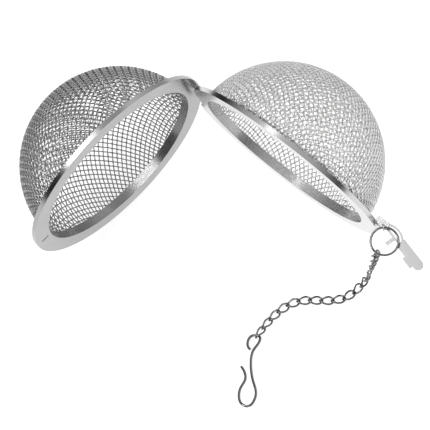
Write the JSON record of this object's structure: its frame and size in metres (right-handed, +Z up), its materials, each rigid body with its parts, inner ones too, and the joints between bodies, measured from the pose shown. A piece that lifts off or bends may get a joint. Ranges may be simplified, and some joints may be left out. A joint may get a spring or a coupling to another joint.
{
  "type": "tea infuser",
  "caption": "Mesh ball tea infuser: two woven dome bowls on a hooked sheet hinge, a latch lever, a ring, and a curb chain with a cup hook, standing open.",
  "frame": {"origin": "middle of the whole object's footprint, at the table it stands on", "axes": "+Z up; +X from the left bowl to the right bowl; the open side of both bowls faces -Y"},
  "size_m": [0.0898, 0.0736, 0.052],
  "materials": {
    "rim_steel": "satin rolled stainless sheet",
    "mesh_steel": "fine plain-woven stainless wire",
    "latch_steel": "bright pressed stainless sheet",
    "wire_steel": "bright drawn wire"
  },
  "bodies": {
    "left_bowl": {"left_rim": "rim_steel", "left_mesh": "mesh_steel"},
    "right_bowl": {"right_rim": "rim_steel", "right_mesh": "mesh_steel", "latch_rivet": "rim_steel"},
    "latch": {"latch_lever": "latch_steel"},
    "ring": {"chain_ring": "wire_steel"},
    "link_01": {"chain_link_01": "wire_steel"},
    "link_02": {"chain_link_02": "wire_steel"},
    "link_03": {"chain_link_03": "wire_steel"},
    "link_04": {"chain_link_04": "wire_steel"},
    "link_05": {"chain_link_05": "wire_steel"},
    "link_06": {"chain_link_06": "wire_steel"},
    "link_07": {"chain_link_07": "wire_steel"},
    "link_08": {"chain_link_08": "wire_steel"},
    "link_09": {"chain_link_09": "wire_steel"},
    "link_10": {"chain_link_10": "wire_steel"},
    "link_11": {"chain_link_11": "wire_steel"},
    "link_12": {"chain_link_12": "wire_steel"},
    "link_13": {"chain_link_13": "wire_steel"},
    "link_14": {"chain_link_14": "wire_steel"},
    "link_15": {"chain_link_15": "wire_steel"},
    "link_16": {"chain_link_16": "wire_steel"},
    "link_17": {"chain_link_17": "wire_steel"},
    "link_18": {"chain_link_18": "wire_steel"},
    "chain_hook": {"hook": "wire_steel"}
  },
  "joints": [
    {"name": "bowl_hinge", "type": "hinge", "parent": "left_bowl", "child": "right_bowl", "pos_m": [-0.00191, 0.02875, 0.03024], "axis": [0, -0.2588, 0.9659], "range_deg": [-96.4, 83.4]},
    {"name": "latch_swing", "type": "hinge", "parent": "right_bowl", "child": "latch", "pos_m": [0.03718, -0.00495, 0.02121], "axis": [0, 0.2588, -0.9659], "range_deg": [-36, 30]},
    {"name": "ring_swing", "type": "hinge", "parent": "right_bowl", "child": "ring", "pos_m": [0.03684, -0.006, 0.02222], "axis": [-1, 0.0044, 0.0012], "range_deg": [0, 75]},
    {"name": "chain_joint_01", "type": "hinge", "parent": "ring", "child": "link_01", "pos_m": [0.03476, -0.01105, 0.02028], "axis": [0.746, -0.6219, -0.2383], "range_deg": [-30, 30]},
    {"name": "chain_joint_02", "type": "hinge", "parent": "link_01", "child": "link_02", "pos_m": [0.03438, -0.01088, 0.0179], "axis": [-0.8864, 0.3947, 0.2419], "range_deg": [-20, 20]},
    {"name": "chain_joint_03", "type": "hinge", "parent": "link_02", "child": "link_03", "pos_m": [0.03379, -0.01062, 0.01533], "axis": [-0.4067, -0.9135, 0], "range_deg": [-15, 15]},
    {"name": "chain_joint_04", "type": "hinge", "parent": "link_03", "child": "link_04", "pos_m": [0.03317, -0.01034, 0.01277], "axis": [0.8956, -0.3618, -0.2588], "range_deg": [-20, 20]},
    {"name": "chain_joint_05", "type": "hinge", "parent": "link_04", "child": "link_05", "pos_m": [0.03253, -0.01008, 0.01021], "axis": [0.309, 0.9511, 0], "range_deg": [-15, 15]},
    {"name": "chain_joint_06", "type": "hinge", "parent": "link_05", "child": "link_06", "pos_m": [0.03188, -0.00987, 0.00765], "axis": [-0.9305, 0.1308, 0.342], "range_deg": [-20, 20]},
    {"name": "chain_joint_07", "type": "hinge", "parent": "link_06", "child": "link_07", "pos_m": [0.03098, -0.00974, 0.00516], "axis": [0.1736, -0.9848, 0], "range_deg": [-15, 15]},
    {"name": "chain_joint_08", "type": "hinge", "parent": "link_07", "child": "link_08", "pos_m": [0.0296, -0.00999, 0.00291], "axis": [0.5624, 0.2504, -0.788], "range_deg": [-10, 20]},
    {"name": "chain_joint_09", "type": "hinge", "parent": "link_08", "child": "link_09", "pos_m": [0.02769, -0.01084, 0.00128], "axis": [-0.3746, 0.9272, 0], "range_deg": [-15, 15]},
    {"name": "chain_joint_10", "type": "hinge", "parent": "link_09", "child": "link_10", "pos_m": [0.02532, -0.0118, 0.0006], "axis": [0, 0, 1], "range_deg": [-5, 20]},
    {"name": "chain_joint_11", "type": "hinge", "parent": "link_10", "child": "link_11", "pos_m": [0.02268, -0.01207, 0.0006], "axis": [-0.1045, -0.9945, 0], "range_deg": [-15, 15]},
    {"name": "chain_joint_12", "type": "hinge", "parent": "link_11", "child": "link_12", "pos_m": [0.02005, -0.0118, 0.0006], "axis": [0, 0, -1], "range_deg": [-20, 20]},
    {"name": "chain_joint_13", "type": "hinge", "parent": "link_12", "child": "link_13", "pos_m": [0.01742, -0.01143, 0.0006], "axis": [0, 1, 0], "range_deg": [-15, 15]},
    {"name": "chain_joint_14", "type": "hinge", "parent": "link_13", "child": "link_14", "pos_m": [0.01477, -0.01143, 0.0006], "axis": [0, 0, 1], "range_deg": [-20, 20]},
    {"name": "chain_joint_15", "type": "hinge", "parent": "link_14", "child": "link_15", "pos_m": [0.01225, -0.01225, 0.0006], "axis": [0.5592, -0.829, 0], "range_deg": [-15, 15]},
    {"name": "chain_joint_16", "type": "hinge", "parent": "link_15", "child": "link_16", "pos_m": [0.01005, -0.01373, 0.0006], "axis": [-0.0265, -0.0256, -0.9993], "range_deg": [-20, 20]},
    {"name": "chain_joint_17", "type": "hinge", "parent": "link_16", "child": "link_17", "pos_m": [0.00815, -0.01557, 0.00069], "axis": [-0.766, 0.6428, 0], "range_deg": [-15, 15]},
    {"name": "chain_joint_18", "type": "hinge", "parent": "link_17", "child": "link_18", "pos_m": [0.00645, -0.0176, 0.00079], "axis": [0.0223, 0.0306, 0.9993], "range_deg": [-20, 20]},
    {"name": "hook_swing", "type": "hinge", "parent": "link_18", "child": "chain_hook", "pos_m": [0.00505, -0.01951, 0.00088], "axis": [0, 0, 1], "range_deg": [-20, 10]}
  ]
}
